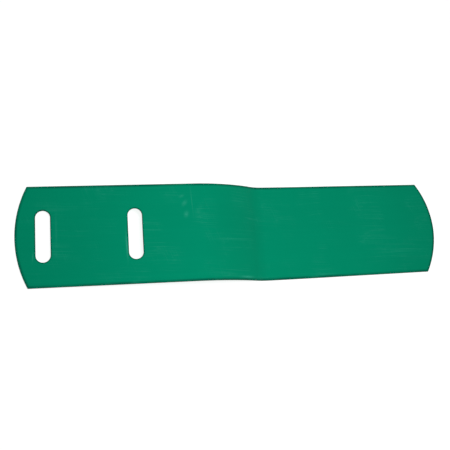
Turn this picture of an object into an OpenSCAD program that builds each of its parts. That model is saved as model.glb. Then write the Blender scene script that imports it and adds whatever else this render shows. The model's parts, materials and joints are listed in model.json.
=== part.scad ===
// Flexible slide sheet: one long strip of plastic with arc-cut ends, a pair of
// hand slots near one end and a low set bend across its middle.
// It lies with the tip of its slotted half and the whole of its plain half on the floor.
// Origin: middle of the overall length and width, on the floor.
// +X runs along the sheet from the slotted end to the plain end, +Z is up.

/* [Sheet] */
// Overall length, tip to tip, as the sheet lies
sheet_l = 900; // [750:5:1200]
// Width between the two straight sides
sheet_w = 200; // [140:5:300]
// Thickness of the plastic
sheet_t = 4; // [2:0.5:8]
// Radius of the arc that the slotted end is cut to
slotted_end_r = 225; // [170:5:400]
// Radius of the arc that the plain end is cut to
plain_end_r = 200; // [170:5:400]

/* [Hand slots] */
// Length of a hand slot across the sheet, over its round ends
slot_l = 102; // [80:1:130]
// Width of a hand slot, along the sheet
slot_w = 28; // [24:1:40]
// Distance from the tip of the slotted end to the middle of the first slot
slot_inset = 53; // [45:1:100]
// Distance between the middles of the two slots
slot_pitch = 177; // [80:1:230]

/* [Set bend] */
// Height of the underside above the floor at the top of the bend
crest_h = 30; // [5:1:60]
// Distance from the tip of the slotted end to the top of the bend
crest_run = 371; // [350:1:450]
// Inside radius over the top of the bend
crest_r = 240; // [120:5:400]
// Inside radius where the bend comes down to the floor
foot_r = 60; // [5:5:100]

/* [Hidden] */
$fn = 180;
// How far a cutting shape reaches past what it cuts
past = 10;
// Largest angle between two neighbouring steps of a bend
step_deg = 1.5;

// Tip of the slotted end, and middle of the crest curve
tip_x = -sheet_l / 2;
crest = [tip_x + crest_run, crest_h - crest_r];

// Slope of the slotted half: its underside runs straight from the floor at the
// tip until it touches the crest curve.
crest_reach = norm([crest_run, crest_h - crest_r]);
ramp_deg = atan2(crest_h - crest_r, crest_run) + asin(crest_r / crest_reach);

// Steepest slope on the other side, where the crest curve turns into the foot
// curve, and middle of the foot curve.
curve_gap = crest_r + sheet_t + foot_r;
drop_deg = acos(1 - crest_h / curve_gap);
foot = [crest.x + curve_gap * sin(drop_deg), sheet_t + foot_r];

// Points along an arc, in steps of step_deg or less
function arc_points(middle, r, from_deg, to_deg) =
    let (steps = ceil(abs(to_deg - from_deg) / step_deg))
    [for (i = [0:steps])
        let (a = from_deg + (to_deg - from_deg) * i / steps)
        middle + r * [cos(a), sin(a)]];

// Line along the bent strip, this high above its underside, from past the
// slotted end's tip to past the plain end. Side view, with Y upwards.
function strip_line(lift) = concat(
    [[tip_x, 0] - past * [cos(ramp_deg), sin(ramp_deg)] + lift * [-sin(ramp_deg), cos(ramp_deg)]],
    arc_points(crest, crest_r + lift, 90 + ramp_deg, 90 - drop_deg),
    arc_points(foot, foot_r + sheet_t - lift, 270 - drop_deg, 270),
    [[sheet_l / 2 + past, lift]]
);

// Points of a line in the opposite order
function backwards(line) = [for (i = [len(line) - 1:-1:0]) line[i]];

// Side view of the strip: what lies between its underside and its top
module side_view() {
    polygon(concat(strip_line(sheet_t), backwards(strip_line(0))));
}

// What is cut off beyond the arc of an end, here at the +X tip
module end_waste(r) {
    translate([sheet_l / 2 - r, 0])
        difference() {
            translate([0, -sheet_w])
                square([r + 2 * past, 2 * sheet_w]);
            circle(r = r);
        }
}

// Plan outline: a straight-sided strip, each end trimmed to an arc
module outline() {
    difference() {
        square([sheet_l + past, sheet_w], center = true);
        end_waste(plain_end_r);
        mirror([1, 0])
            end_waste(slotted_end_r);
    }
}

// One hand slot, cut square through the sloping half at a distance from the tip
module hand_slot(from_tip) {
    side_l = slot_l - slot_w;
    translate([tip_x, 0, 0])
        rotate([0, -ramp_deg, 0])
            translate([from_tip, 0, -past])
                linear_extrude(sheet_t + 2 * past) {
                    square([slot_w, side_l], center = true);
                    for (side = [-1, 1])
                        translate([0, side * side_l / 2])
                            circle(d = slot_w);
                }
}

module slide_sheet() {
    color([0.0, 0.53, 0.42])
        difference() {
            intersection() {
                rotate([90, 0, 0])
                    linear_extrude(sheet_w + past, center = true)
                        side_view();
                translate([0, 0, -past])
                    linear_extrude(crest_h + sheet_t + 2 * past)
                        outline();
            }
            for (slot = [0, 1])
                hand_slot(slot_inset + slot * slot_pitch);
        }
}

slide_sheet();
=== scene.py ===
"""Slide sheet: a long strip of flexible plastic with two hand slots and a low set bend.

The strip is made in the order that a workshop makes it. A flat blank is cut from plastic
sheet, with arc-shaped ends, two hand slots and eased edges. The blank is then set to its
low bend, which ends in a foot where the sheet comes down and lies flat.

Everything is in metres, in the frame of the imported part: +X runs from the slotted end to
the plain end, +Y goes across and +Z is up from the floor.

A place on the flat blank is given as (along, across): the distance along the sheet from
the tip of the slotted end, and the distance from its middle line.
"""

import json
import math

import bmesh
import bpy
import numpy as np
from mathutils import Matrix, Vector


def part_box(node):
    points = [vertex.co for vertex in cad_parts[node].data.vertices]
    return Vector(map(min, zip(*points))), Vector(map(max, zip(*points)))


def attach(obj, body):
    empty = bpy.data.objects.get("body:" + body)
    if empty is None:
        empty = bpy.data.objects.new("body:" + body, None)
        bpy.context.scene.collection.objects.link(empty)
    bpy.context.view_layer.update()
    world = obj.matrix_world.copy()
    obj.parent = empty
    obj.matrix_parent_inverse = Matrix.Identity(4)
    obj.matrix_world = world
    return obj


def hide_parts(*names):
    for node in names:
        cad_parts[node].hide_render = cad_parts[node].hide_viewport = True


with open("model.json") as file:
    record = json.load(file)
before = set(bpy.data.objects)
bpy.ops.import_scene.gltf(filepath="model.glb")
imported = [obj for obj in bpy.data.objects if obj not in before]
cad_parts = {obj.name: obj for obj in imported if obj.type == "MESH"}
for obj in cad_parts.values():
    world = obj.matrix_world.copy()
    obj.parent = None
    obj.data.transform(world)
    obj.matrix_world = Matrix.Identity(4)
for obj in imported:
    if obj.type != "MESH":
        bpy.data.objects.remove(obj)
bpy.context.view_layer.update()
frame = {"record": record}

bl_info = {
    "name": "Slide Sheet",
    "version": (1, 0, 0),
    "blender": (4, 5, 0),
    "location": "3D View > Sidebar > Slide Sheet",
    "description": "Makes a flexible plastic slide sheet and a small studio to show it in",
    "category": "Object",
}

SHEET_NODE = "slide_sheet"
MILLIMETRE = 0.001

sheet_low, sheet_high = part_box(SHEET_NODE)
mounts = {mount["name"]: Vector(mount["pos_m"]) for mount in frame["record"]["mounts"]}


# ---------------------------------------------------------------------------
# Settings that a user would change
# ---------------------------------------------------------------------------


def length_setting(name, description, default, low, high):
    """A length in metres that a user may change."""
    return bpy.props.FloatProperty(
        name=name, description=description, default=default, min=low, max=high, unit="LENGTH"
    )


def share_setting(name, description, default, high=1.0):
    """A number without a unit, from 0 up, that a user may change."""
    return bpy.props.FloatProperty(
        name=name, description=description, default=default, min=0.0, max=high, subtype="FACTOR"
    )


def colour_setting(name, description, default):
    """A colour that a user may change."""
    return bpy.props.FloatVectorProperty(
        name=name, description=description, default=default,
        size=3, min=0.0, max=1.0, subtype="COLOR",
    )


class BlankSettings(bpy.types.PropertyGroup):
    """Sizes of the flat blank."""

    length: length_setting(
        "Length", "Distance between the two tips of the bent sheet",
        sheet_high.x - sheet_low.x, 0.8, 1.3,
    )
    width: length_setting(
        "Width", "Distance between the two straight sides",
        sheet_high.y - sheet_low.y, 0.16, 0.21,
    )
    thickness: length_setting(
        "Thickness", "Thickness of the plastic",
        0.004, 0.003, 0.008,
    )
    slotted_end_radius: length_setting(
        "Slotted end radius", "Radius of the arc that the slotted end is cut to",
        0.225, 0.2, 0.4,
    )
    plain_end_radius: length_setting(
        "Plain end radius", "Radius of the arc that the plain end is cut to",
        0.200, 0.18, 0.4,
    )
    edge_radius: length_setting(
        "Edge radius", "Radius that the cut edges are eased to",
        0.0012, 0.0002, 0.0014,
    )
    slot_length: length_setting(
        "Slot length", "Length of a hand slot across the sheet, over its round ends",
        0.102, 0.08, 0.12,
    )
    slot_width: length_setting(
        "Slot width", "Width of a hand slot, along the sheet",
        0.028, 0.02, 0.036,
    )
    mesh_step: length_setting(
        "Mesh step", "Usual size of a mesh face",
        0.003, 0.002, 0.01,
    )


class BendSettings(bpy.types.PropertyGroup):
    """Shape that the blank is set to."""

    crest_run: length_setting(
        "Crest run", "Distance from the slotted tip to the top of the bend",
        0.371, 0.34, 0.45,
    )
    crest_height: length_setting(
        "Crest height", "Height of the underside above the floor at the top of the bend",
        0.030, 0.005, 0.06,
    )
    crest_radius: length_setting(
        "Crest radius", "Inside radius over the top of the bend",
        0.24, 0.12, 0.4,
    )
    foot_radius: length_setting(
        "Foot radius", "Inside radius where the bend comes down to the floor",
        0.06, 0.005, 0.1,
    )
    crown: length_setting(
        "Crown", "How far the middle of the plain tip stands above the tip's two corners",
        0.005, 0.0, 0.01,
    )
    sway: length_setting(
        "Sway", "How far the plain tip lies to one side of the slotted half's middle line",
        0.0089, -0.02, 0.02,
    )
    wave_height: length_setting(
        "Wave height", "Greatest rise of the faint waves that handling leaves in the sheet",
        0.0007, 0.0, 0.002,
    )
    wave_length: length_setting(
        "Wave length", "Usual distance between two waves",
        0.16, 0.05, 1.0,
    )
    nick_depth: length_setting(
        "Nick depth", "Greatest depth of the small dents in the cut edges",
        0.00022, 0.0, 0.0005,
    )
    seed: bpy.props.IntProperty(
        name="Seed",
        description="Changes where the waves and nicks fall",
        default=7,
        min=0,
        max=1000,
    )


class FinishSettings(bpy.types.PropertyGroup):
    """Colours and wear of the plastic, with its painted shade and painted highlights."""

    sheet_colour: colour_setting(
        "Sheet colour", "Colour of the moulded-in pigment",
        (0.0004, 0.2240, 0.1180),
    )
    # Pale colour of the scratches, scuffs and rubs, and of the painted highlights by the slots and on
    # the foot
    rub_and_highlight_colour: colour_setting(
        "Rub and highlight colour", "Colour of the plastic where it is scratched or scuffed",
        (0.0350, 0.3600, 0.2450),
    )
    # Painted shade: the cut faces and the thin line along the cut edges take this dark colour in place
    # of the shade that falls there
    shaded_cut_colour: colour_setting(
        "Cut edge shade colour", "Colour of the cut faces and of the dirt along the edges",
        (0.0016, 0.0780, 0.0460),
    )
    roughness: share_setting("Roughness", "Roughness of the clean surface", 0.50)
    # This strength also scales the painted highlights
    wear: share_setting("Wear and highlights", "Strength of all scratches and scuffs together", 1.0, 2.0)


class StudioSettings(bpy.types.PropertyGroup):
    """Floor, light and camera."""

    floor_colour: colour_setting(
        "Floor colour", "Colour of the plain floor, under its own glow",
        (0.25, 0.25, 0.25),
    )
    floor_glow: share_setting(
        "Floor glow", "Light that the floor gives off itself, as a lit table does",
        0.86, 2.0,
    )
    key_power: bpy.props.FloatProperty(
        name="Key light power",
        description="Power of the soft box above the sheet",
        default=6.3,
        min=0.0,
        max=500.0,
        unit="POWER",
    )
    key_height: length_setting(
        "Key light height", "Height of the soft box above the floor",
        1.5, 0.5, 4.0,
    )
    fill: share_setting(
        "Fill light", "Brightness of the even light from all round",
        0.30, 2.0,
    )


class SlideSheetSettings(bpy.types.PropertyGroup):
    """All the settings, by group."""

    blank: bpy.props.PointerProperty(
        name="Blank", description="Sizes of the flat blank", type=BlankSettings
    )
    bend: bpy.props.PointerProperty(
        name="Bend", description="Shape that the blank is set to", type=BendSettings
    )
    finish: bpy.props.PointerProperty(
        name="Finish", description="Colours and wear of the plastic", type=FinishSettings
    )
    studio: bpy.props.PointerProperty(
        name="Studio", description="Floor, light and camera", type=StudioSettings
    )


# ---------------------------------------------------------------------------
# The line that the middle of the sheet's thickness follows, seen from the side
# ---------------------------------------------------------------------------


class BendLine:
    """Ramp, crest, foot and flat, each joined smoothly to the next."""

    def __init__(self, blank, bend):
        half = blank.thickness / 2
        self.tip_x = sheet_low.x
        # Centre of the crest's arc, and the ramp from the floor that touches that arc
        crest_x = self.tip_x + bend.crest_run
        crest_z = bend.crest_height - bend.crest_radius
        reach = math.hypot(bend.crest_run, crest_z)
        self.ramp_angle = math.atan2(crest_z, bend.crest_run) + math.asin(bend.crest_radius / reach)
        # The foot's arc touches the crest's arc, so this far lies between their centres
        centres = bend.crest_radius + blank.thickness + bend.foot_radius
        self.drop_angle = math.acos(1 - bend.crest_height / centres)
        self.foot_x = crest_x + centres * math.sin(self.drop_angle)

        # From here on, along the middle of the thickness
        self.crest_radius = bend.crest_radius + half
        self.foot_radius = bend.foot_radius + half
        crest_start_x = crest_x - self.crest_radius * math.sin(self.ramp_angle)
        crest_start_z = crest_z + self.crest_radius * math.cos(self.ramp_angle)
        self.ramp_length = (crest_start_x - self.tip_x) / math.cos(self.ramp_angle)
        self.tip_z = crest_start_z - self.ramp_length * math.sin(self.ramp_angle)
        self.crest_length = self.crest_radius * (self.ramp_angle + self.drop_angle)
        self.foot_length = self.foot_radius * self.drop_angle
        self.flat_length = self.tip_x + blank.length - self.foot_x

        self.crest_start = self.ramp_length
        self.foot_start = self.crest_start + self.crest_length
        self.flat_start = self.foot_start + self.foot_length
        self.total = self.flat_start + self.flat_length

    def along(self, x):
        """Distance along the ramp from the tip to this X."""
        return (x - self.tip_x) / math.cos(self.ramp_angle)


# ---------------------------------------------------------------------------
# The flat blank
# ---------------------------------------------------------------------------

# Depth of the mesh zone that runs from the arc-cut end to the first straight column
SLOTTED_END_ZONE = 0.028
PLAIN_END_ZONE = 0.033
# Half sizes of the rectangle of mesh that surrounds a hand slot
SLOT_FRAME_ALONG = 0.024
SLOT_FRAME_ACROSS = 0.066
# Half height of that rectangle's part that faces the slot's straight sides
SLOT_FRAME_STRAIGHT = 0.039
# Width of the narrow faces that keep the flats flat beside a rounded edge
GUARD = 0.0005
# How far from one ring to the next around a slot, as shares of the way out
SLOT_RINGS = (0.0, 0.04, 0.16, 0.34, 0.55, 0.77)
# Steps in the quarter round of an edge, and in the turn around a corner
ROUND_STEPS = 4
CORNER_STEPS = 6
# Columns between an arc-cut end and the first straight column
END_COLUMNS = 9
# Mesh step in the foot, which turns sharply
FOOT_STEP = 0.0015
# The painted shade along the cut edges reaches this much less far from the slots
SLOT_SHADE_NARROWING = 2.0
# The underside's patterns come from another part of the plane than the top's
UNDERSIDE_SHIFT = 0.43


def spaced(start, end, step):
    """Even steps from start to end, both included."""
    count = max(1, round((end - start) / step))
    return [start + (end - start) * i / count for i in range(count + 1)]


def chained(*runs):
    """Joins runs of places that each start where the one before ends."""
    places = list(runs[0])
    for run in runs[1:]:
        places += run[1:]
    return places


def nearest(places, place):
    """Number of the place in a run that lies nearest to this one."""
    return min(range(len(places)), key=lambda k: abs(places[k] - place))


class Blank:
    """The cut blank as lists of points and faces, before it becomes a mesh."""

    def __init__(self, sizes, line):
        self.sizes = sizes
        self.line = line
        self.slots = [line.along(mounts["end_slot"].x), line.along(mounts["inner_slot"].x)]
        self.slot_half = sizes.slot_width / 2
        self.slot_straight = (sizes.slot_length - sizes.slot_width) / 2
        self.points = []
        self.faces = []
        self.rims = []
        self.lay_grid()
        self.lay_slot_frames()
        self.drop_unused()

    def end_edge(self, across, end_radius):
        """Distance from the tip to the flat's edge at an end cut to this radius."""
        radius = end_radius - self.sizes.edge_radius
        return end_radius - math.sqrt(radius**2 - across**2)

    def columns(self):
        """Places along the sheet of the straight columns."""
        step = self.sizes.mesh_step
        line = self.line
        stops = [SLOTTED_END_ZONE]
        for slot in self.slots:
            stops += [slot - SLOT_FRAME_ALONG, slot + SLOT_FRAME_ALONG]
        runs = [spaced(start, end, step) for start, end in zip(stops, stops[1:])]
        runs.append(spaced(stops[-1], line.crest_start, step))
        runs.append(spaced(line.crest_start, line.foot_start, step))
        runs.append(spaced(line.foot_start, line.flat_start, FOOT_STEP))
        runs.append(spaced(line.flat_start, line.total - PLAIN_END_ZONE, step))
        return chained(*runs)

    def rows(self):
        """Places across the sheet of the rows."""
        step = self.sizes.mesh_step
        edge = self.sizes.width / 2 - self.sizes.edge_radius
        outer = spaced(SLOT_FRAME_ACROSS, edge - GUARD, step) + [edge]
        inner = spaced(-SLOT_FRAME_ACROSS, SLOT_FRAME_ACROSS, step)
        return chained([-place for place in reversed(outer)], inner, outer)

    def lay_grid(self):
        """Lays rows and columns over the blank, leaving out the slots' rectangles.

        Stops with an error if the sizes make two columns cross.
        """
        rows = self.rows()
        columns = self.columns()
        # Beside an arc-cut end, one narrow column and then even ones
        guard = GUARD / (PLAIN_END_ZONE - self.sizes.edge_radius)
        shares = [0.0] + [guard + (1 - guard) * i / END_COLUMNS for i in range(END_COLUMNS)]
        self.row_count = len(rows)
        self.first_straight = len(shares)
        self.column_count = len(columns) + 2 * len(shares)
        table = []
        for across in rows:
            edge = self.end_edge(across, self.sizes.slotted_end_radius)
            left = [edge + (SLOTTED_END_ZONE - edge) * share for share in shares]
            edge = self.end_edge(across, self.sizes.plain_end_radius)
            right = [edge + (PLAIN_END_ZONE - edge) * share for share in reversed(shares)]
            right = [self.line.total - place for place in right]
            places = left + columns + right
            if any(after <= before for before, after in zip(places, places[1:])):
                raise ValueError("The ends, the slots and the bend have no room at these sizes")
            table.append([(along, across) for along in places])
        self.points = [table[j][i] for i in range(self.column_count) for j in range(self.row_count)]
        self.frames = [self.frame_cells(slot, columns, rows) for slot in self.slots]
        for i in range(self.column_count - 1):
            for j in range(self.row_count - 1):
                if not any(i0 <= i < i1 and j0 <= j < j1 for i0, i1, j0, j1 in self.frames):
                    self.faces.append(
                        (self.at(i, j), self.at(i + 1, j), self.at(i + 1, j + 1), self.at(i, j + 1))
                    )
        self.rims.append(self.outer_rim())

    def at(self, i, j):
        """Number of the grid's point in column i and row j."""
        return i * self.row_count + j

    def frame_cells(self, slot, columns, rows):
        """First and last column and row of the rectangle around a slot."""
        return (
            self.first_straight + nearest(columns, slot - SLOT_FRAME_ALONG),
            self.first_straight + nearest(columns, slot + SLOT_FRAME_ALONG),
            nearest(rows, -SLOT_FRAME_ACROSS),
            nearest(rows, SLOT_FRAME_ACROSS),
        )

    def outer_rim(self):
        """The outline, walked with the plastic on the left: (point, way out of the plastic)."""
        last_i = self.column_count - 1
        last_j = self.row_count - 1

        def arc_way(number, middle):
            along, across = self.points[number]
            away = math.hypot(along - middle, across)
            return ((along - middle) / away, across / away)

        near_side = [(self.at(i, 0), (0.0, -1.0)) for i in range(last_i + 1)]
        far_side = [(self.at(i, last_j), (0.0, 1.0)) for i in range(last_i, -1, -1)]
        plain_middle = self.line.total - self.sizes.plain_end_radius
        slotted_middle = self.sizes.slotted_end_radius
        plain_end = [self.at(last_i, j) for j in range(last_j + 1)]
        slotted_end = [self.at(0, j) for j in range(last_j, -1, -1)]
        plain_end = [(number, arc_way(number, plain_middle)) for number in plain_end]
        slotted_end = [(number, arc_way(number, slotted_middle)) for number in slotted_end]
        rim = []
        for run in (near_side, plain_end, far_side, slotted_end):
            if rim:
                rim += self.turn(rim[-1], run[0])
            rim += run
        rim += self.turn(rim[-1], rim[0])
        return rim

    def turn(self, before, after):
        """The extra ways out around a corner, between the last of one side and the first of the next."""
        start = math.atan2(before[1][1], before[1][0])
        angle = (math.atan2(after[1][1], after[1][0]) - start) % math.tau
        steps = [start + angle * k / CORNER_STEPS for k in range(1, CORNER_STEPS)]
        return [(after[0], (math.cos(a), math.sin(a))) for a in steps]

    def lay_slot_frames(self):
        """Fills each rectangle with rings that pass from its straight sides to the slot."""
        for slot, cells in zip(self.slots, self.frames):
            outside, inside = self.slot_pairs(slot, *cells)
            rings = []
            for share in SLOT_RINGS:
                ring = []
                for number, (along, across) in zip(outside, inside):
                    far_along, far_across = self.points[number]
                    ring.append(len(self.points))
                    self.points.append(
                        (
                            along + (far_along - along) * share,
                            across + (far_across - across) * share,
                        )
                    )
                rings.append(ring)
            rings.append(outside)
            count = len(outside)
            for inner, outer in zip(rings, rings[1:]):
                for m in range(count):
                    n = (m + 1) % count
                    self.faces.append((inner[m], outer[m], outer[n], inner[n]))
            rim = [(number, self.slot_way(slot, number)) for number in reversed(rings[0])]
            self.rims.append(rim)

    def slot_pairs(self, slot, i0, i1, j0, j1):
        """The rectangle's points, anticlockwise, and the place on the slot's edge that each meets."""
        across_of = [self.points[self.at(i0, j)][1] for j in range(self.row_count)]
        low = min(range(j0, j1), key=lambda j: abs(across_of[j] + SLOT_FRAME_STRAIGHT))
        high = min(range(j0, j1), key=lambda j: abs(across_of[j] - SLOT_FRAME_STRAIGHT))
        half = self.slot_half + self.sizes.edge_radius
        straight = self.slot_straight
        outside = []
        inside = []
        for side in (1, -1):
            near_column, far_column = (i1, i0) if side > 0 else (i0, i1)
            first, last = (low, high) if side > 0 else (high, low)
            end_row = j1 if side > 0 else j0
            for j in range(first, last, side):
                outside.append(self.at(near_column, j))
                inside.append((slot + side * half, straight * across_of[j] / across_of[high]))
            turn = [self.at(near_column, j) for j in range(last, end_row, side)]
            turn += [self.at(i, end_row) for i in range(near_column, far_column, -side)]
            turn += [self.at(far_column, j) for j in range(end_row, last, -side)]
            for k, number in enumerate(turn):
                angle = math.pi * k / len(turn)
                outside.append(number)
                inside.append(
                    (
                        slot + side * half * math.cos(angle),
                        side * (straight + half * math.sin(angle)),
                    )
                )
        return outside, inside

    def slot_way(self, slot, number):
        """Way out of the plastic at a point on a slot's edge, which is into the slot."""
        along, across = self.points[number]
        core = max(-self.slot_straight, min(self.slot_straight, across))
        away = math.hypot(along - slot, across - core)
        return ((slot - along) / away, (core - across) / away)

    def drop_unused(self):
        """Leaves out the grid's points that lie inside the slots' rectangles."""
        used = sorted({number for face in self.faces for number in face})
        new = {number: k for k, number in enumerate(used)}
        self.points = [self.points[number] for number in used]
        self.faces = [tuple(new[number] for number in face) for face in self.faces]
        self.rims = [[(new[number], way) for number, way in rim] for rim in self.rims]

    def edge_distance(self, along, across):
        """Distance from places on the blank to the nearest cut edge, more than real at a slot."""
        sizes = self.sizes
        side = sizes.width / 2 - np.abs(across)
        closest = side
        for from_tip, radius in (
            (along, sizes.slotted_end_radius),
            (self.line.total - along, sizes.plain_end_radius),
        ):
            short = np.minimum(from_tip - radius, 0)
            closest = np.minimum(closest, radius - np.hypot(short, np.where(short < 0, across, 0)))
        for slot in self.slots:
            past_straight = np.maximum(np.abs(across) - self.slot_straight, 0)
            from_slot = np.hypot(along - slot, past_straight) - self.slot_half
            closest = np.minimum(closest, from_slot * SLOT_SHADE_NARROWING)
        return np.maximum(closest, 0)


def edge_profile(thickness, radius):
    """Eased edge from the top to the underside: (distance outwards, height)."""
    angles = [math.pi / 2 * k / ROUND_STEPS for k in range(1, ROUND_STEPS + 1)]
    top = [(radius * math.sin(a), thickness - radius * (1 - math.cos(a))) for a in angles]
    under = [(radius * math.sin(a), radius * (1 - math.cos(a))) for a in reversed(angles)]
    return top + [(radius, thickness / 2)] + under


def cut_blank(sizes, line):
    """The flat blank as a closed mesh object, lying along X from zero."""
    blank = Blank(sizes, line)
    count = len(blank.points)
    profile = edge_profile(sizes.thickness, sizes.edge_radius)
    vertices = [(along, across, sizes.thickness) for along, across in blank.points]
    vertices += [(along, across, 0.0) for along, across in blank.points]
    cut_face = [0.0] * len(vertices)
    faces = list(blank.faces)
    faces += [tuple(number + count for number in reversed(face)) for face in blank.faces]

    for rim in blank.rims:
        strands = []
        for number, (way_along, way_across) in rim:
            along, across = blank.points[number]
            strand = [number]
            for out, height in profile:
                strand.append(len(vertices))
                vertices.append((along + way_along * out, across + way_across * out, height))
                cut_face.append(out / sizes.edge_radius)
            strands.append(strand + [number + count])
        for strand, other in zip(strands, strands[1:] + strands[:1]):
            for k in range(len(strand) - 1):
                face = (strand[k], strand[k + 1], other[k + 1], other[k])
                faces.append(tuple(dict.fromkeys(face)))

    mesh = bpy.data.meshes.new("slide_sheet_blank")
    mesh.from_pydata(vertices, [], faces)
    add_places(mesh, blank, sizes.thickness, cut_face)
    mesh.polygons.foreach_set("use_smooth", [True] * len(mesh.polygons))
    check_closed(mesh)
    piece = bpy.data.objects.new("slide_sheet_blank", mesh)
    bpy.context.scene.collection.objects.link(piece)
    return piece


def add_places(mesh, blank, thickness, cut_face):
    """Gives the blank its flat map, in metres, and what the finish needs to know of the edges."""
    place = np.zeros(len(mesh.vertices) * 3, np.float32)
    mesh.vertices.foreach_get("co", place)
    place = place.reshape(-1, 3)

    distance = mesh.attributes.new("edge_distance", "FLOAT", "POINT")
    distance.data.foreach_set(
        "value", blank.edge_distance(place[:, 0], place[:, 1]).astype(np.float32)
    )
    cut = mesh.attributes.new("cut_face", "FLOAT", "POINT")
    cut.data.foreach_set("value", np.array(cut_face, np.float32))

    flat_map = mesh.uv_layers.new(name="flat_map")
    spots = np.zeros((len(mesh.loops), 2), np.float32)
    for face in mesh.polygons:
        corners = list(face.loop_indices)
        numbers = list(face.vertices)
        spots[corners] = place[numbers, :2]
        if place[numbers, 2].mean() < thickness / 2:
            spots[corners, 1] += UNDERSIDE_SHIFT
    flat_map.uv.foreach_set("vector", spots.ravel())


def check_closed(mesh):
    """Stops with an error if the mesh has a hole, a stray face or an inside-out face."""
    shell = bmesh.new()
    shell.from_mesh(mesh)
    open_edges = sum(not edge.is_manifold for edge in shell.edges)
    turned_edges = sum(not edge.is_contiguous for edge in shell.edges)
    volume = shell.calc_volume(signed=True)
    shell.free()
    if open_edges or turned_edges or volume <= 0:
        raise RuntimeError(
            f"{mesh.name}: {open_edges} open edges, {turned_edges} turned edges, volume {volume}"
        )


# ---------------------------------------------------------------------------
# Node trees
# ---------------------------------------------------------------------------


class Bench:
    """Lays nodes out in one tree and joins them up."""

    def __init__(self, tree):
        self.tree = tree
        self.count = 0

    def node(self, kind, title="", **settings):
        """A new node, placed beside the ones before."""
        made = self.tree.nodes.new(kind)
        made.location = (220 * (self.count // 6), -190 * (self.count % 6))
        self.count += 1
        if title:
            made.label = title
        for name, value in settings.items():
            setattr(made, name, value)
        return made

    def feed(self, socket, value):
        """Links value to the socket if it is an output, and sets it there if not."""
        if isinstance(value, bpy.types.NodeSocket):
            self.tree.links.new(value, socket)
        else:
            socket.default_value = value

    def maths(self, operation, *values, title=""):
        """One Math node."""
        made = self.node("ShaderNodeMath", title, operation=operation)
        for socket, value in zip(made.inputs, values):
            self.feed(socket, value)
        return made.outputs[0]

    def total(self, *values):
        """Sum of several values."""
        result = values[0]
        for value in values[1:]:
            result = self.maths("ADD", result, value)
        return result

    def clamped(self, value, low, high, title=""):
        """Value, held between low and high."""
        return self.maths("MINIMUM", self.maths("MAXIMUM", value, low), high, title=title)

    def vector(self, along, across, up=0.0):
        """Three numbers as one vector."""
        made = self.node("ShaderNodeCombineXYZ")
        for socket, value in zip(made.inputs, (along, across, up)):
            self.feed(socket, value)
        return made.outputs[0]

    def stretched(self, vector, factors):
        """Vector with each part multiplied by its own factor."""
        made = self.node("ShaderNodeVectorMath", operation="MULTIPLY")
        self.feed(made.inputs[0], vector)
        self.feed(made.inputs[1], factors)
        return made.outputs[0]

    def noise(self, vector, scale, detail, roughness=0.5, dimensions="3D", w=None, title=""):
        """Noise from 0 to 1, with 0.5 its usual value."""
        made = self.node("ShaderNodeTexNoise", title, noise_dimensions=dimensions)
        self.feed(made.inputs["Vector"], vector)
        self.feed(made.inputs["Scale"], scale)
        self.feed(made.inputs["Detail"], detail)
        self.feed(made.inputs["Roughness"], roughness)
        if w is not None:
            self.feed(made.inputs["W"], w)
        return made.outputs[0]

    def window(self, value, low, high, title=""):
        """Passes smoothly from 0 at low to 1 at high."""
        made = self.node("ShaderNodeMapRange", title, interpolation_type="SMOOTHSTEP")
        self.feed(made.inputs["Value"], value)
        self.feed(made.inputs["From Min"], low)
        self.feed(made.inputs["From Max"], high)
        return made.outputs["Result"]

    def mixed(self, share, first, second, title="", blend="MIX"):
        """Two colours, mixed."""
        made = self.node("ShaderNodeMix", title, data_type="RGBA", blend_type=blend)
        self.feed(made.inputs[0], share)
        self.feed(made.inputs[6], first)
        self.feed(made.inputs[7], second)
        return made.outputs[2]


def add_sockets(tree, direction, sockets):
    """Adds a tree's named inputs or outputs: (name, kind, default, description)."""
    for name, kind, default, description in sockets:
        socket = tree.interface.new_socket(
            name=name, in_out=direction, socket_type="NodeSocket" + kind, description=description
        )
        if default is not None:
            socket.default_value = default


def new_group(name, inputs, outputs):
    """An empty shader node group with its ends in place: (tree, bench, inputs, outputs)."""
    tree = bpy.data.node_groups.new(name, "ShaderNodeTree")
    add_sockets(tree, "INPUT", inputs)
    add_sockets(tree, "OUTPUT", outputs)
    bench = Bench(tree)
    given = bench.node("NodeGroupInput").outputs
    result = bench.node("NodeGroupOutput").inputs
    return tree, bench, given, result


# ---------------------------------------------------------------------------
# Setting the bend
# ---------------------------------------------------------------------------

# How far the turn between the two halves spreads along them
SWAY_REACH = 0.04
# Distance from the foot at which the turn leaves the middle line where it was
SWAY_CENTRE = 0.225
# Patterns per metre: nicks in the cut faces, and the slow wandering of the cut
NICKS_SCALE = 120.0
RUNOUT_SCALE = 22.0
# Shares of the nick depth that each of the two may take
NICKS_SHARE = 0.6
RUNOUT_SHARE = 0.4
# A nick is drawn out through the thickness, so it changes less from top to underside
NICK_STRETCH = (1.0, 1.0, 0.35)

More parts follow.
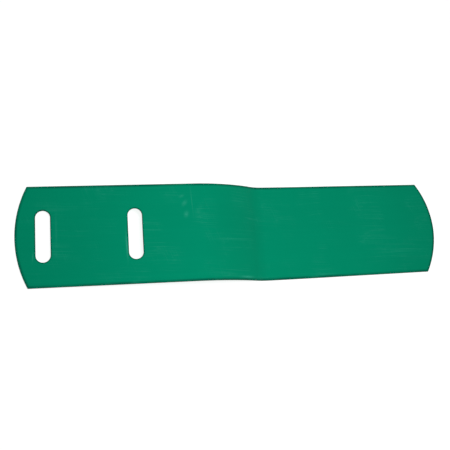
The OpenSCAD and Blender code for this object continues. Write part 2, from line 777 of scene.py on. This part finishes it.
BEND_INPUTS = (
    ("Geometry", "Geometry", None, "The flat blank"),
    ("Tip X", "Float", 0.0, "X of the slotted tip"),
    ("Tip Z", "Float", 0.0, "Height of the middle of the slotted tip"),
    ("Ramp Length", "Float", 0.3, "Length of the straight ramp"),
    ("Ramp Angle", "Float", 0.1, "Slope of the ramp"),
    ("Crest Length", "Float", 0.1, "Length of the crest along the sheet"),
    ("Crest Radius", "Float", 0.2, "Radius of the crest"),
    ("Foot Length", "Float", 0.01, "Length of the foot along the sheet"),
    ("Foot Radius", "Float", 0.02, "Radius of the foot"),
    ("Drop Angle", "Float", 0.4, "Steepest slope between the crest and the foot"),
    ("Foot X", "Float", 0.0, "X where the foot meets the floor"),
    ("Flat Length", "Float", 0.4, "Length of the part that lies flat"),
    ("Thickness", "Float", 0.004, "Thickness of the plastic"),
    ("Half Width", "Float", 0.1, "Half the width of the sheet"),
    ("Crown", "Float", 0.0, "Rise of the plain tip's middle above its corners"),
    ("Sway", "Float", 0.0, "How far the plain tip lies to one side of the slotted half's line"),
    ("Sway Reach", "Float", 0.04, "How far the turn between the two halves spreads along them"),
    ("Sway Centre", "Float", 0.2, "Distance from the foot to where the middle line stays put"),
    ("Wave Height", "Float", 0.0, "Greatest rise of the faint waves"),
    ("Wave Length", "Float", 0.2, "Usual distance between two waves"),
    ("Nick Depth", "Float", 0.0, "Greatest depth of a nick in a cut edge"),
    ("Seed", "Int", 0, "Changes where the waves and nicks fall"),
    ("Material", "Material", None, "Finish of the sheet"),
)


def bend_tree():
    """Geometry Nodes that nick a flat blank's edges and set it along the bend line."""
    tree = bpy.data.node_groups.new("Set The Bend", "GeometryNodeTree")
    add_sockets(tree, "INPUT", BEND_INPUTS)
    add_sockets(tree, "OUTPUT", (("Geometry", "Geometry", None, "The bent sheet"),))
    bench = Bench(tree)
    given = bench.node("NodeGroupInput").outputs
    result = bench.node("NodeGroupOutput").inputs

    nicked = nick_edges(bench, given)
    bent = set_along_line(bench, given, nicked)
    rested = relax(bench, given, bent)

    realized = bench.node("GeometryNodeRealizeInstances")
    bench.feed(realized.inputs[0], rested)
    finished = bench.node("GeometryNodeSetMaterial")
    bench.feed(finished.inputs["Geometry"], realized.outputs[0])
    bench.feed(finished.inputs["Material"], given["Material"])
    bench.feed(result["Geometry"], finished.outputs[0])
    return tree


def nick_edges(bench, given):
    """Moves the cut faces a little into the plastic here and there."""
    place = bench.node("GeometryNodeInputPosition").outputs[0]
    normal = bench.node("GeometryNodeInputNormal").outputs[0]
    cut = bench.node("GeometryNodeInputNamedAttribute", "Cut face", data_type="FLOAT")
    cut.inputs["Name"].default_value = "cut_face"
    level = bench.stretched(place, NICK_STRETCH)
    spots = bench.noise(level, NICKS_SCALE, 2.0, dimensions="4D", w=given["Seed"])
    spots = bench.window(spots, 0.56, 0.78, title="Nicks")
    runout = bench.noise(level, RUNOUT_SCALE, 1.0, dimensions="4D", w=given["Seed"])
    depth = bench.total(
        bench.maths("MULTIPLY", spots, NICKS_SHARE), bench.maths("MULTIPLY", runout, RUNOUT_SHARE)
    )
    depth = bench.maths("MULTIPLY", depth, cut.outputs[0])
    depth = bench.maths("MULTIPLY", depth, given["Nick Depth"])
    inwards = bench.node("ShaderNodeVectorMath", operation="SCALE")
    bench.feed(inwards.inputs[0], normal)
    bench.feed(inwards.inputs["Scale"], bench.maths("MULTIPLY", depth, -1.0))
    moved = bench.node("GeometryNodeSetPosition", "Nick the cut edges")
    bench.feed(moved.inputs["Geometry"], given["Geometry"])
    bench.feed(moved.inputs["Offset"], inwards.outputs[0])
    return moved.outputs[0]


def set_along_line(bench, given, geometry):
    """Takes each point of the blank to its place on the ramp, crest, foot or flat."""
    maths = bench.maths
    split = bench.node("ShaderNodeSeparateXYZ", "Place on the blank")
    bench.feed(split.inputs[0], bench.node("GeometryNodeInputPosition").outputs[0])
    along, across, height = split.outputs

    # How much of each part of the line lies behind this point
    past_ramp = maths("SUBTRACT", along, given["Ramp Length"])
    past_crest = maths("SUBTRACT", past_ramp, given["Crest Length"])
    past_foot = maths("SUBTRACT", past_crest, given["Foot Length"])
    on_ramp = maths("MINIMUM", along, given["Ramp Length"], title="On the ramp")
    on_crest = bench.clamped(past_ramp, 0.0, given["Crest Length"], "On the crest")
    on_foot = bench.clamped(past_crest, 0.0, given["Foot Length"], "On the foot")
    on_flat = maths("MAXIMUM", past_foot, 0.0, title="On the flat")

    # Slope at the end of each part
    ramp = given["Ramp Angle"]
    drop = given["Drop Angle"]
    crest_radius = given["Crest Radius"]
    foot_radius = given["Foot Radius"]
    crest_slope = maths("SUBTRACT", ramp, maths("DIVIDE", on_crest, crest_radius))
    foot_turn = maths("DIVIDE", on_foot, foot_radius)
    foot_slope = maths("SUBTRACT", foot_turn, drop)
    slope = maths("ADD", crest_slope, foot_turn, title="Slope here")

    # Middle of the thickness
    crest_x = maths("SUBTRACT", maths("SINE", ramp), maths("SINE", crest_slope))
    crest_z = maths("SUBTRACT", maths("COSINE", crest_slope), maths("COSINE", ramp))
    foot_x = maths("ADD", maths("SINE", foot_slope), maths("SINE", drop))
    foot_z = maths("SUBTRACT", maths("COSINE", drop), maths("COSINE", foot_slope))
    middle_x = bench.total(
        given["Tip X"],
        maths("MULTIPLY", on_ramp, maths("COSINE", ramp)),
        maths("MULTIPLY", crest_radius, crest_x),
        maths("MULTIPLY", foot_radius, foot_x),
        on_flat,
    )
    middle_z = bench.total(
        given["Tip Z"],
        maths("MULTIPLY", on_ramp, maths("SINE", ramp)),
        maths("MULTIPLY", crest_radius, crest_z),
        maths("MULTIPLY", foot_radius, foot_z),
    )

    # This point, square to the slope
    off = maths("SUBTRACT", height, maths("MULTIPLY", given["Thickness"], 0.5))
    x = maths("SUBTRACT", middle_x, maths("MULTIPLY", off, maths("SINE", slope)))
    z = maths("ADD", middle_z, maths("MULTIPLY", off, maths("COSINE", slope)))
    moved = bench.node("GeometryNodeSetPosition", "Set along the line")
    bench.feed(moved.inputs["Geometry"], geometry)
    bench.feed(moved.inputs["Position"], bench.vector(x, across, z))
    return moved.outputs[0]


def relax(bench, given, geometry):
    """Adds the plain half's crown, the turn between the two halves and faint waves all over."""
    maths = bench.maths
    split = bench.node("ShaderNodeSeparateXYZ", "Place on the bent sheet")
    bench.feed(split.inputs[0], bench.node("GeometryNodeInputPosition").outputs[0])
    x = split.outputs[0]
    across = split.outputs[1]
    from_foot = maths("SUBTRACT", x, given["Foot X"], title="Beyond the foot")

    share = bench.clamped(
        maths("DIVIDE", from_foot, given["Flat Length"]), 0.0, 1.0, "Share of the plain half"
    )
    side = maths("DIVIDE", across, given["Half Width"])
    bow = maths("SUBTRACT", 1.0, maths("MULTIPLY", side, side))
    crown = maths("MULTIPLY", maths("MULTIPLY", given["Crown"], bow), share)

    # Each half swings by half the turn, along a line that is curved near the foot
    turn = maths("DIVIDE", given["Sway"], maths("MULTIPLY", given["Flat Length"], 2.0))
    reach = given["Sway Reach"]
    away = maths(
        "SQRT",
        bench.total(maths("MULTIPLY", from_foot, from_foot), maths("MULTIPLY", reach, reach)),
    )
    sideways = maths("MULTIPLY", turn, maths("SUBTRACT", away, given["Sway Centre"]))
    tilt = maths("MULTIPLY", turn, maths("DIVIDE", from_foot, away))
    endways = maths("MULTIPLY", maths("MULTIPLY", tilt, across), -1.0)
    waves = bench.noise(
        bench.vector(x, across),
        maths("DIVIDE", 1.0, given["Wave Length"]),
        1.0,
        dimensions="4D",
        w=given["Seed"],
        title="Waves",
    )
    wave = maths("MULTIPLY", given["Wave Height"], bench.window(waves, 0.25, 0.75))
    shift = bench.vector(endways, sideways, maths("ADD", crown, wave))
    moved = bench.node("GeometryNodeSetPosition", "Crown, turn and waves")
    bench.feed(moved.inputs["Geometry"], geometry)
    bench.feed(moved.inputs["Offset"], shift)
    return moved.outputs[0]


def set_bend(piece, values):
    """Bends the blank with the node tree and returns the result as a plain mesh object."""
    tree = bend_tree()
    modifier = piece.modifiers.new("Set The Bend", "NODES")
    modifier.node_group = tree
    for item in tree.interface.items_tree:
        if item.item_type == "SOCKET" and item.in_out == "INPUT" and item.name in values:
            modifier[item.identifier] = values[item.name]
    evaluated = piece.evaluated_get(bpy.context.evaluated_depsgraph_get())
    mesh = bpy.data.meshes.new_from_object(evaluated)
    mesh.name = "slide_sheet_body"
    piece.modifiers.remove(modifier)
    flat = piece.data
    bpy.data.objects.remove(piece)
    bpy.data.meshes.remove(flat)
    made = bpy.data.objects.new("slide_sheet_body", mesh)
    bpy.context.scene.collection.objects.link(made)
    return made


# ---------------------------------------------------------------------------
# Finish of the plastic
# ---------------------------------------------------------------------------


def flow_lines_group():
    """Faint lines that the extruder leaves along a plastic sheet."""
    tree, bench, given, result = new_group(
        "Flow Lines",
        (
            ("Vector", "Vector", None, "Place on the flat sheet, in metres"),
            ("Spacing", "Float", 0.004, "Usual distance between two lines"),
            ("Length", "Float", 1.5, "Usual length of a line"),
        ),
        (
            ("Shade", "Float", None, "From 0 to 1, dark to light"),
            ("Height", "Float", None, "From 0 to 1, low to high"),
        ),
    )
    factors = bench.vector(
        bench.maths("DIVIDE", 1.0, given["Length"]), bench.maths("DIVIDE", 1.0, given["Spacing"])
    )
    wide = bench.stretched(given["Vector"], factors)
    shade = bench.noise(wide, 0.35, 3.0, 0.6, "2D")
    height = bench.noise(wide, 1.0, 2.0, 0.5, "2D")
    bench.feed(result["Shade"], bench.window(shade, 0.25, 0.75))
    bench.feed(result["Height"], height)
    return tree


def scratches_group():
    """Fine scratches that run one way, each fading out at its ends."""
    tree, bench, given, result = new_group(
        "Scratches",
        (
            ("Vector", "Vector", None, "Place on the flat sheet, in metres"),
            ("Turn", "Float", 0.0, "Angle between the scratches and the sheet's length"),
            ("Length", "Float", 0.05, "Usual length of a scratch"),
            ("Width", "Float", 0.0005, "Usual width of a scratch"),
            ("Share", "Float", 0.1, "Share of the surface that is scratched"),
        ),
        (("Mask", "Float", None, "1 in a scratch and 0 beside it"),),
    )
    turned = bench.node("ShaderNodeVectorRotate", rotation_type="Z_AXIS")
    bench.feed(turned.inputs["Vector"], given["Vector"])
    bench.feed(turned.inputs["Angle"], given["Turn"])
    wander = bench.noise(turned.outputs[0], 9.0, 1.0, 0.5, "2D")
    bowed = bench.node("ShaderNodeVectorMath", operation="ADD")
    bench.feed(bowed.inputs[0], turned.outputs[0])
    bench.feed(bowed.inputs[1], bench.vector(0.0, bench.maths("MULTIPLY", wander, 0.012)))
    factors = bench.vector(
        bench.maths("DIVIDE", 1.0, given["Length"]), bench.maths("DIVIDE", 1.0, given["Width"])
    )
    streaks = bench.noise(bench.stretched(bowed.outputs[0], factors), 0.5, 1.0, 0.4, "2D")
    # The more of the surface is scratched, the weaker the noise that makes a scratch
    limit = bench.maths("SUBTRACT", 0.78, bench.maths("MULTIPLY", given["Share"], 0.5))
    lines = bench.window(streaks, limit, bench.maths("ADD", limit, 0.07))
    patches = bench.noise(given["Vector"], 14.0, 2.0, 0.6, "2D")
    bench.feed(result["Mask"], bench.maths("MULTIPLY", lines, bench.window(patches, 0.4, 0.66)))
    return tree


def scuffs_group():
    """Rubbed patches, made of many short marks that run close together."""
    tree, bench, given, result = new_group(
        "Scuffs",
        (
            ("Vector", "Vector", None, "Place on the flat sheet, in metres"),
            ("Size", "Float", 0.05, "Usual distance between two patches"),
            ("Share", "Float", 0.2, "Share of the surface that is rubbed"),
        ),
        (("Mask", "Float", None, "1 where the surface is rubbed"),),
    )
    patches = bench.noise(
        given["Vector"], bench.maths("DIVIDE", 1.0, given["Size"]), 3.0, 0.6, "2D"
    )
    # The more of the surface is rubbed, the weaker the noise that makes a patch
    limit = bench.maths("SUBTRACT", 0.7, bench.maths("MULTIPLY", given["Share"], 0.4))
    patches = bench.window(patches, limit, bench.maths("ADD", limit, 0.18))
    strokes = bench.noise(bench.stretched(given["Vector"], (60.0, 420.0, 0.0)), 1.0, 2.0, 0.6, "2D")
    strokes = bench.window(strokes, 0.42, 0.7)
    bench.feed(result["Mask"], bench.maths("MULTIPLY", patches, strokes))
    return tree


def pale_mark_group():
    """One soft pale mark, for a rub where something was dragged over the sheet and for a painted
    highlight.
    """
    tree, bench, given, result = new_group(
        "Pale Mark",
        (
            ("Vector", "Vector", None, "Place on the flat sheet, in metres"),
            ("Along", "Float", 0.0, "Where the mark's middle lies along the sheet"),
            ("Across", "Float", 0.0, "Where it lies across the sheet"),
            ("Turn", "Float", 0.0, "Angle between the mark and the sheet's length"),
            ("Length", "Float", 0.02, "Half length of the mark"),
            ("Width", "Float", 0.003, "Half width of the mark"),
        ),
        (("Mask", "Float", None, "1 in the middle of the mark"),),
    )
    middle = bench.vector(given["Along"], given["Across"])
    moved = bench.node("ShaderNodeVectorMath", operation="SUBTRACT")
    bench.feed(moved.inputs[0], given["Vector"])
    bench.feed(moved.inputs[1], middle)
    turned = bench.node("ShaderNodeVectorRotate", rotation_type="Z_AXIS")
    bench.feed(turned.inputs["Vector"], moved.outputs[0])
    bench.feed(turned.inputs["Angle"], bench.maths("MULTIPLY", given["Turn"], -1.0))
    split = bench.node("ShaderNodeSeparateXYZ")
    bench.feed(split.inputs[0], turned.outputs[0])
    long_way = bench.maths("DIVIDE", split.outputs[0], given["Length"])
    short_way = bench.maths("DIVIDE", split.outputs[1], given["Width"])
    away = bench.total(
        bench.maths("MULTIPLY", long_way, long_way), bench.maths("MULTIPLY", short_way, short_way)
    )
    soft = bench.maths("EXPONENT", bench.maths("MULTIPLY", away, -1.0))
    broken = bench.noise(given["Vector"], 700.0, 3.0, 0.7, "2D")
    broken = bench.window(broken, 0.25, 0.65)
    bench.feed(result["Mask"], bench.maths("MULTIPLY", soft, broken))
    return tree


def edge_shade_group():
    """Painted shade along the cut edges, in a thin uneven line."""
    tree, bench, given, result = new_group(
        "Edge Shade",
        (
            ("Vector", "Vector", None, "Place on the flat sheet, in metres"),
            ("Edge Distance", "Float", 1.0, "Distance to the nearest cut edge"),
            ("Reach", "Float", 0.003, "How far the dirt reaches into the sheet"),
        ),
        (("Mask", "Float", None, "1 where the dirt is thickest"),),
    )
    patches = bench.noise(given["Vector"], 16.0, 3.0, 0.6, "2D")
    patches = bench.window(patches, 0.3, 0.7)
    uneven = bench.maths("ADD", 0.55, bench.maths("MULTIPLY", patches, 0.45))
    near = bench.maths("DIVIDE", given["Edge Distance"], given["Reach"])
    near = bench.maths("SUBTRACT", 1.0, bench.window(near, 0.35, 1.0))
    bench.feed(result["Mask"], bench.maths("MULTIPLY", near, uneven))
    return tree


def placed(bench, group, title="", **values):
    """Puts a node group in a material. A value's name has _ for each space."""
    made = bench.node("ShaderNodeGroup", title or group.name)
    made.node_tree = group
    for name, value in values.items():
        bench.feed(made.inputs[name.replace("_", " ").title()], value)
    return made.outputs


def opaque(colour):
    """A colour with its fourth number."""
    return (*colour, 1.0)


# This sheet's own rubbed marks and painted highlights: along, across, turn, half length, half width,
# strength
RUB_MARKS_AND_HIGHLIGHTS = (
    (0.3300, 0.0590, 0.9, 0.0060, 0.0035, 0.55),
    (0.3325, 0.0360, 1.3, 0.0055, 0.0040, 0.60),
    (0.3250, 0.0737, 0.5, 0.0050, 0.0025, 0.40),
    (0.3450, 0.0650, 1.62, 0.0260, 0.0009, 0.35),
    # Painted highlight: a glint on the foot, beside the near edge
    (0.4545, -0.0930, 0.0, 0.0130, 0.0020, 0.75),
    # Painted highlight: a stretch of the inner slot's rim catching the light
    (0.2118, -0.0240, 1.60, 0.0210, 0.0015, 1.00),
    # Painted highlight: a stretch of the end slot's rim catching the light
    (0.0336, -0.0400, 1.50, 0.0080, 0.0012, 0.50),
    (0.0780, 0.0100, 1.57, 0.0300, 0.0016, 0.22),
)

# How strongly the other marks show in the colour
DRAGGING_SHOWS = 0.20
HANDLING_SHOWS = 0.18
SCUFFS_SHOW = 0.13
# Strength of the painted shade along the cut edges
EDGE_SHADE_SHOWS = 0.9
# Heights in the relief, in millimetres
GRAIN_HEIGHT = 0.030
FLOW_LINE_HEIGHT = 0.016
DRAGGING_DEPTH = 0.022
HANDLING_DEPTH = 0.020
SCUFF_DEPTH = 0.010
PALE_MARK_DEPTH = 0.012
KNIFE_MARK_HEIGHT = 0.10
# How much rougher the plastic is where it is worn and under the painted highlights, and on the cut faces
WORN_ROUGHER = 0.22
CUT_ROUGHER = 0.22
# The plastic's gloss, which is low and tinted by the pigment
PLASTIC_IOR = 1.5
GLOSS_LEVEL = 0.12
GLOSS_TINT = (0.0, 1.0, 0.62, 1.0)
# Patterns per metre: slow changes of tone, uneven tone in the painted shade of the cut faces, grain and
# knife marks
CLOUDS_SCALE = 5.0
CUT_TONE_SCALE = 160.0
GRAIN_SCALE = 850.0
KNIFE_MARK_SCALE = (900.0, 900.0, 60.0)


def sheet_plastic(finish):
    """Semi-matt green plastic with the marks of extruding, cutting and use, painted shade on and along
    its cut edges and a few painted highlights.
    """
    material = bpy.data.materials.new("sheet_plastic")
    material.use_nodes = True
    tree = material.node_tree
    tree.nodes.clear()
    bench = Bench(tree)
    maths = bench.maths

    flat = bench.node("ShaderNodeUVMap", "Place on the flat sheet", uv_map="flat_map").outputs[0]
    solid = bench.node("ShaderNodeTexCoord", "Place in the sheet").outputs["Object"]
    distance = bench.node("ShaderNodeAttribute", attribute_name="edge_distance").outputs["Fac"]
    cut = bench.node("ShaderNodeAttribute", attribute_name="cut_face").outputs["Fac"]
    cut = bench.window(cut, 0.15, 0.8, title="Cut face")

    # What has happened to the surface
    lines = placed(bench, flow_lines_group(), vector=flat, spacing=0.0035, length=1.2)
    scratches = scratches_group()
    long_marks = placed(
        bench, scratches, "Dragging marks",
        vector=flat, turn=0.03, length=0.09, width=0.0006, share=0.30,
    )["Mask"]
    cross_marks = placed(
        bench, scratches, "Handling marks",
        vector=flat, turn=1.2, length=0.03, width=0.0005, share=0.14,
    )["Mask"]
    scuffs = placed(bench, scuffs_group(), vector=flat, size=0.07, share=0.30)["Mask"]
    shading = placed(
        bench, edge_shade_group(), vector=flat, edge_distance=distance, reach=0.0065
    )["Mask"]
    pale_mark = pale_mark_group()
    # The rubbed marks and the painted highlights, added up
    rubbed = 0.0
    for along, across, turn, length, width, strength in RUB_MARKS_AND_HIGHLIGHTS:
        mark = placed(
            bench, pale_mark,
            vector=flat, along=along, across=across, turn=turn, length=length, width=width,
        )["Mask"]
        rubbed = maths("ADD", rubbed, maths("MULTIPLY", mark, strength))
    wear_and_highlights = bench.total(
        rubbed,
        maths("MULTIPLY", long_marks, DRAGGING_SHOWS),
        maths("MULTIPLY", cross_marks, HANDLING_SHOWS),
        maths("MULTIPLY", scuffs, SCUFFS_SHOW),
    )
    wear_and_highlights = bench.clamped(maths("MULTIPLY", wear_and_highlights, finish.wear), 0.0, 1.0, "All wear and highlights")

    # Colour
    clouds = bench.window(bench.noise(solid, CLOUDS_SCALE, 2.0, title="Clouds"), 0.3, 0.7)
    tone = bench.total(
        0.965, maths("MULTIPLY", clouds, 0.04), maths("MULTIPLY", lines["Shade"], 0.03)
    )
    plain = bench.mixed(1.0, opaque(finish.sheet_colour), tone, "Flow lines", "MULTIPLY")
    # Painted shade: a thin uneven dark line along the cut edges
    shading = maths("MULTIPLY", shading, EDGE_SHADE_SHOWS)
    shaded_at_edges = bench.mixed(shading, plain, opaque(finish.shaded_cut_colour), "Painted edge shade")
    marked = bench.mixed(wear_and_highlights, shaded_at_edges, opaque(finish.rub_and_highlight_colour), "Wear and highlights")
    # Painted shade: the cut faces take the dark colour, a little unevenly
    cut_tone = bench.noise(solid, CUT_TONE_SCALE, 3.0, 0.6, title="Uneven tone on the cut faces")
    cut_tone = maths("ADD", 0.75, maths("MULTIPLY", cut_tone, 0.5))
    shaded_cut_side = bench.mixed(1.0, opaque(finish.shaded_cut_colour), cut_tone, "Cut faces with painted shade", "MULTIPLY")
    colour = bench.mixed(cut, marked, shaded_cut_side, "Colour")

    # Roughness
    roughness = bench.total(
        finish.roughness,
        maths("MULTIPLY", maths("SUBTRACT", clouds, 0.5), 0.05),
        maths("MULTIPLY", maths("SUBTRACT", lines["Height"], 0.5), 0.08),
        maths("MULTIPLY", wear_and_highlights, WORN_ROUGHER),
        maths("MULTIPLY", cut, CUT_ROUGHER),
    )
    roughness = bench.clamped(roughness, 0.2, 0.9, "Roughness")

    # Relief, in millimetres
    grain = bench.noise(solid, GRAIN_SCALE, 3.0, 0.55, title="Grain")
    knife = bench.noise(bench.stretched(solid, KNIFE_MARK_SCALE), 1.0, 2.0, title="Knife marks")
    relief = bench.total(
        maths("MULTIPLY", grain, GRAIN_HEIGHT),
        maths("MULTIPLY", lines["Height"], FLOW_LINE_HEIGHT),
        maths("MULTIPLY", long_marks, -DRAGGING_DEPTH),
        maths("MULTIPLY", cross_marks, -HANDLING_DEPTH),
        maths("MULTIPLY", scuffs, -SCUFF_DEPTH),
        maths("MULTIPLY", rubbed, -PALE_MARK_DEPTH),
        maths("MULTIPLY", maths("MULTIPLY", knife, cut), KNIFE_MARK_HEIGHT),
    )
    bump = bench.node("ShaderNodeBump")
    bump.inputs["Strength"].default_value = 1.0
    bump.inputs["Distance"].default_value = MILLIMETRE
    bench.feed(bump.inputs["Height"], relief)

    shader = bench.node("ShaderNodeBsdfPrincipled")
    bench.feed(shader.inputs["Base Color"], colour)
    bench.feed(shader.inputs["Roughness"], roughness)
    bench.feed(shader.inputs["Normal"], bump.outputs[0])
    shader.inputs["IOR"].default_value = PLASTIC_IOR
    shader.inputs["Specular IOR Level"].default_value = GLOSS_LEVEL
    shader.inputs["Specular Tint"].default_value = GLOSS_TINT
    output = bench.node("ShaderNodeOutputMaterial")
    bench.feed(output.inputs["Surface"], shader.outputs[0])
    return material


# ---------------------------------------------------------------------------
# Operators
# ---------------------------------------------------------------------------


class SLIDE_SHEET_OT_build_sheet(bpy.types.Operator):
    """Cut the flat blank, set it to its bend and finish it"""

    bl_idname = "slide_sheet.build_sheet"
    bl_label = "Build Slide Sheet"
    bl_options = {"REGISTER", "UNDO"}

    def execute(self, context):
        settings = context.scene.slide_sheet
        blank = settings.blank
        bend = settings.bend
        line = BendLine(blank, bend)
        values = {
            "Tip X": line.tip_x,
            "Tip Z": line.tip_z,
            "Ramp Length": line.ramp_length,
            "Ramp Angle": line.ramp_angle,
            "Crest Length": line.crest_length,
            "Crest Radius": line.crest_radius,
            "Foot Length": line.foot_length,
            "Foot Radius": line.foot_radius,
            "Drop Angle": line.drop_angle,
            "Foot X": line.foot_x,
            "Flat Length": line.flat_length,
            "Thickness": blank.thickness,
            "Half Width": blank.width / 2,
            "Crown": bend.crown,
            "Sway": bend.sway,
            "Sway Reach": SWAY_REACH,
            "Sway Centre": SWAY_CENTRE,
            "Wave Height": bend.wave_height,
            "Wave Length": bend.wave_length,
            "Nick Depth": bend.nick_depth,
            "Seed": bend.seed,
            "Material": sheet_plastic(settings.finish),
        }
        piece = set_bend(cut_blank(blank, line), values)
        check_closed(piece.data)
        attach(piece, "root")
        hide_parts(SHEET_NODE)
        return {"FINISHED"}


class SLIDE_SHEET_OT_build_studio(bpy.types.Operator):
    """Lay the floor, hang the lights and set up the camera"""

    bl_idname = "slide_sheet.build_studio"
    bl_label = "Build Studio"
    bl_options = {"REGISTER", "UNDO"}

    def execute(self, context):
        studio = context.scene.slide_sheet.studio
        lay_floor(studio)
        hang_lights(context.scene, studio)
        show_plain_colours(context.scene)
        set_camera(context.scene)
        return {"FINISHED"}


# Half the side of the square floor, its faces along a side, and how far it lies below the sheet
FLOOR_REACH = 6.0
FLOOR_FACES = 12
FLOOR_DROP = 0.0002
FLOOR_ROUGHNESS = 0.9
FLOOR_GLOSS_LEVEL = 0.1
WHITE = (1.0, 1.0, 1.0, 1.0)
# Side of the soft box, where its middle is over the floor, and how wide its light spreads
KEY_SIDE = 0.55
KEY_PLACE = (0.03, 0.0)
KEY_SPREAD = math.radians(110)
# Brightness of the air behind everything, where the camera sees it
AIR_SEEN = 0.93
# Where the camera looks from: target, distance, height angle, compass angle and tilt
CAMERA_TARGET = Vector((-0.0308, 0.0186, 0.0))
CAMERA_DISTANCE = 1.4531
CAMERA_HEIGHT_ANGLE = math.radians(69.628)
CAMERA_COMPASS_ANGLE = math.radians(-50.582)
CAMERA_TILT = math.radians(47.429)
CAMERA_LENS = 56.0
CAMERA_SENSOR = 36.0


def lay_floor(studio):
    """A large plain floor that gives off light of its own."""
    shape = bmesh.new()
    bmesh.ops.create_grid(shape, x_segments=FLOOR_FACES, y_segments=FLOOR_FACES, size=FLOOR_REACH)
    bmesh.ops.translate(shape, verts=shape.verts, vec=(0.0, 0.0, -FLOOR_DROP))
    mesh = bpy.data.meshes.new("studio_floor")
    shape.to_mesh(mesh)
    shape.free()
    floor = bpy.data.objects.new("studio_floor", mesh)
    bpy.context.scene.collection.objects.link(floor)

    material = bpy.data.materials.new("studio_floor")
    material.use_nodes = True
    bench = Bench(material.node_tree)
    material.node_tree.nodes.clear()
    place = bench.node("ShaderNodeTexCoord").outputs["Object"]
    tone = bench.noise(place, 3.0, 3.0)
    tone = bench.maths("ADD", 0.99, bench.maths("MULTIPLY", tone, 0.02))
    shader = bench.node("ShaderNodeBsdfPrincipled")
    colour = bench.mixed(1.0, opaque(studio.floor_colour), tone, "Floor", "MULTIPLY")
    bench.feed(shader.inputs["Base Color"], colour)
    shader.inputs["Roughness"].default_value = FLOOR_ROUGHNESS
    shader.inputs["Specular IOR Level"].default_value = FLOOR_GLOSS_LEVEL
    shader.inputs["Emission Color"].default_value = WHITE
    shader.inputs["Emission Strength"].default_value = studio.floor_glow
    output = bench.node("ShaderNodeOutputMaterial")
    bench.feed(output.inputs["Surface"], shader.outputs[0])
    mesh.materials.append(material)


def hang_lights(scene, studio):
    """One soft box over the middle of the sheet, and even light from all round."""
    lamp = bpy.data.lights.new("soft_box", "AREA")
    lamp.shape = "SQUARE"
    lamp.size = KEY_SIDE
    lamp.spread = KEY_SPREAD
    lamp.energy = studio.key_power
    box = bpy.data.objects.new("soft_box", lamp)
    box.location = (*KEY_PLACE, studio.key_height)
    scene.collection.objects.link(box)

    world = bpy.data.worlds.new("studio_air")
    world.use_nodes = True
    world.node_tree.nodes.clear()
    bench = Bench(world.node_tree)
    seen = bench.node("ShaderNodeLightPath").outputs["Is Camera Ray"]
    strength = bench.maths("MAXIMUM", bench.maths("MULTIPLY", seen, AIR_SEEN), studio.fill)
    air = bench.node("ShaderNodeBackground")
    air.inputs["Color"].default_value = WHITE
    bench.feed(air.inputs["Strength"], strength)
    output = bench.node("ShaderNodeOutputWorld")
    bench.feed(output.inputs["Surface"], air.outputs[0])
    scene.world = world


def show_plain_colours(scene):
    """Shows colours as they are, with no film look."""
    view = scene.view_settings
    view.view_transform = "Standard"
    view.look = "None"
    view.exposure = 0.0
    view.gamma = 1.0


def set_camera(scene):
    """A camera that looks down on the sheet, turned so that the sheet lies level in its view."""
    height = CAMERA_HEIGHT_ANGLE
    compass = CAMERA_COMPASS_ANGLE
    back = Vector(
        (
            math.sin(compass) * math.cos(height),
            -math.cos(compass) * math.cos(height),
            math.sin(height),
        )
    )
    level = Vector((math.cos(compass), math.sin(compass), 0.0))
    upright = back.cross(level)
    right = level * math.cos(CAMERA_TILT) + upright * math.sin(CAMERA_TILT)
    up = upright * math.cos(CAMERA_TILT) - level * math.sin(CAMERA_TILT)
    turn = Matrix((right, up, back)).transposed().to_4x4()
    data = bpy.data.cameras.new("camera")
    data.lens = CAMERA_LENS
    data.sensor_width = CAMERA_SENSOR
    camera = bpy.data.objects.new("camera", data)
    camera.matrix_world = Matrix.Translation(CAMERA_TARGET + back * CAMERA_DISTANCE) @ turn
    scene.collection.objects.link(camera)
    scene.camera = camera


# ---------------------------------------------------------------------------
# Panel, registration and the whole job
# ---------------------------------------------------------------------------


class SLIDE_SHEET_PT_panel(bpy.types.Panel):
    """Settings and buttons in the 3D view's sidebar"""

    bl_idname = "SLIDE_SHEET_PT_panel"
    bl_label = "Slide Sheet"
    bl_space_type = "VIEW_3D"
    bl_region_type = "UI"
    bl_category = "Slide Sheet"

    def draw(self, context):
        settings = context.scene.slide_sheet
        layout = self.layout
        for title, group in (
            ("Blank", settings.blank),
            ("Bend", settings.bend),
            ("Finish", settings.finish),
        ):
            self.list_group(layout.box(), title, group)
        layout.operator(SLIDE_SHEET_OT_build_sheet.bl_idname)
        self.list_group(layout.box(), "Studio", settings.studio)
        layout.operator(SLIDE_SHEET_OT_build_studio.bl_idname)

    def list_group(self, box, title, group):
        """Lists a group's settings in a box, under its title."""
        box.label(text=title)
        for name in group.bl_rna.properties.keys():
            if name not in ("rna_type", "name"):
                box.prop(group, name)


CLASSES = (
    BlankSettings,
    BendSettings,
    FinishSettings,
    StudioSettings,
    SlideSheetSettings,
    SLIDE_SHEET_OT_build_sheet,
    SLIDE_SHEET_OT_build_studio,
    SLIDE_SHEET_PT_panel,
)


def register():
    """Makes the settings, operators and panel known to Blender."""
    for kind in CLASSES:
        bpy.utils.register_class(kind)
    bpy.types.Scene.slide_sheet = bpy.props.PointerProperty(type=SlideSheetSettings)


def unregister():
    """Takes them away again."""
    del bpy.types.Scene.slide_sheet
    for kind in reversed(CLASSES):
        bpy.utils.unregister_class(kind)


def main():
    """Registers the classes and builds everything."""
    register()
    bpy.ops.slide_sheet.build_sheet()
    bpy.ops.slide_sheet.build_studio()
    bpy.context.view_layer.update()


if __name__ == "__main__":
    main()
